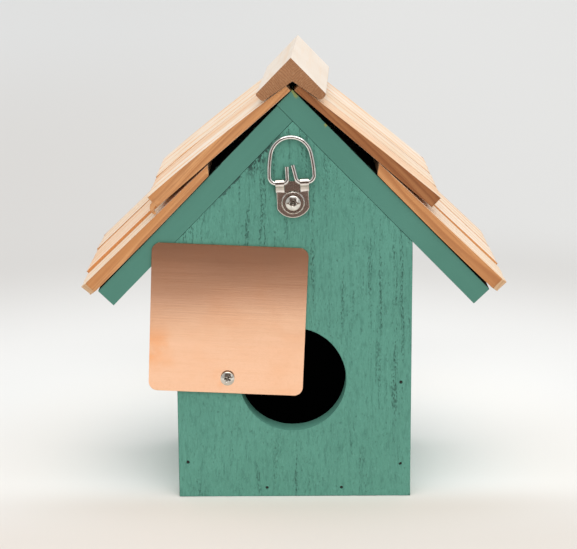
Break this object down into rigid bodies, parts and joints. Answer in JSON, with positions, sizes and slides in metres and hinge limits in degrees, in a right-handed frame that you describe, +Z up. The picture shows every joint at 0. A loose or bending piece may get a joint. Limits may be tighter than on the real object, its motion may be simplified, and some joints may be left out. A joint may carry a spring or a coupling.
{
  "type": "birdhouse",
  "caption": "Gabled wooden birdhouse with painted walls, shingle roof, round entrance, a swinging copper clean-out cover and a ring hanger on its wall side.",
  "frame": {"origin": "centre of the box's underside, on the surface it stands on", "axes": "+Z up; -Y is the wall side with the hanger and the clean-out hole; +Y is the entrance side; +X to the right seen from the wall side"},
  "size_m": [0.1895, 0.102, 0.1995],
  "materials": {
    "painted_wood": "matt teal paint over rough sawn wood",
    "natural_wood": "bare planed softwood",
    "copper": "brushed copper",
    "zinc_steel": "bright zinc plated",
    "brad_steel": "dull wire"
  },
  "bodies": {
    "house": {"back_panel": "painted_wood", "front_panel": "painted_wood", "left_wall": "painted_wood", "right_wall": "painted_wood", "floor_board": "painted_wood", "left_roof_board": "painted_wood", "right_roof_board": "painted_wood", "ridge_cap": "natural_wood", "cover_screw": "zinc_steel", "hanger_strap": "zinc_steel", "hanger_screw": "zinc_steel", "back_panel_brads": "brad_steel", "front_panel_brads": "brad_steel", "roof_board_brads": "brad_steel", "left_shingle_brads": "brad_steel", "right_shingle_brads": "brad_steel", "left_lower_shingle_1": "natural_wood", "left_lower_shingle_2": "natural_wood", "left_lower_shingle_3": "natural_wood", "right_lower_shingle_1": "natural_wood", "right_lower_shingle_2": "natural_wood", "right_lower_shingle_3": "natural_wood", "left_upper_shingle_1": "natural_wood", "left_upper_shingle_2": "natural_wood", "left_upper_shingle_3": "natural_wood", "right_upper_shingle_1": "natural_wood", "right_upper_shingle_2": "natural_wood", "right_upper_shingle_3": "natural_wood"},
    "cover": {"cover_plate": "copper"},
    "ring": {"hanger_ring": "zinc_steel"}
  },
  "joints": [
    {"name": "cover_swing", "type": "hinge", "parent": "house", "child": "cover", "pos_m": [-0.0297, -0.0427, 0.0566], "axis": [0, 1, 0], "continuous": true},
    {"name": "ring_swing", "type": "hinge", "parent": "house", "child": "ring", "pos_m": [-0.00039, -0.044, 0.14509], "axis": [0.999, 0, 0.0436], "range_deg": [0, 150]}
  ]
}
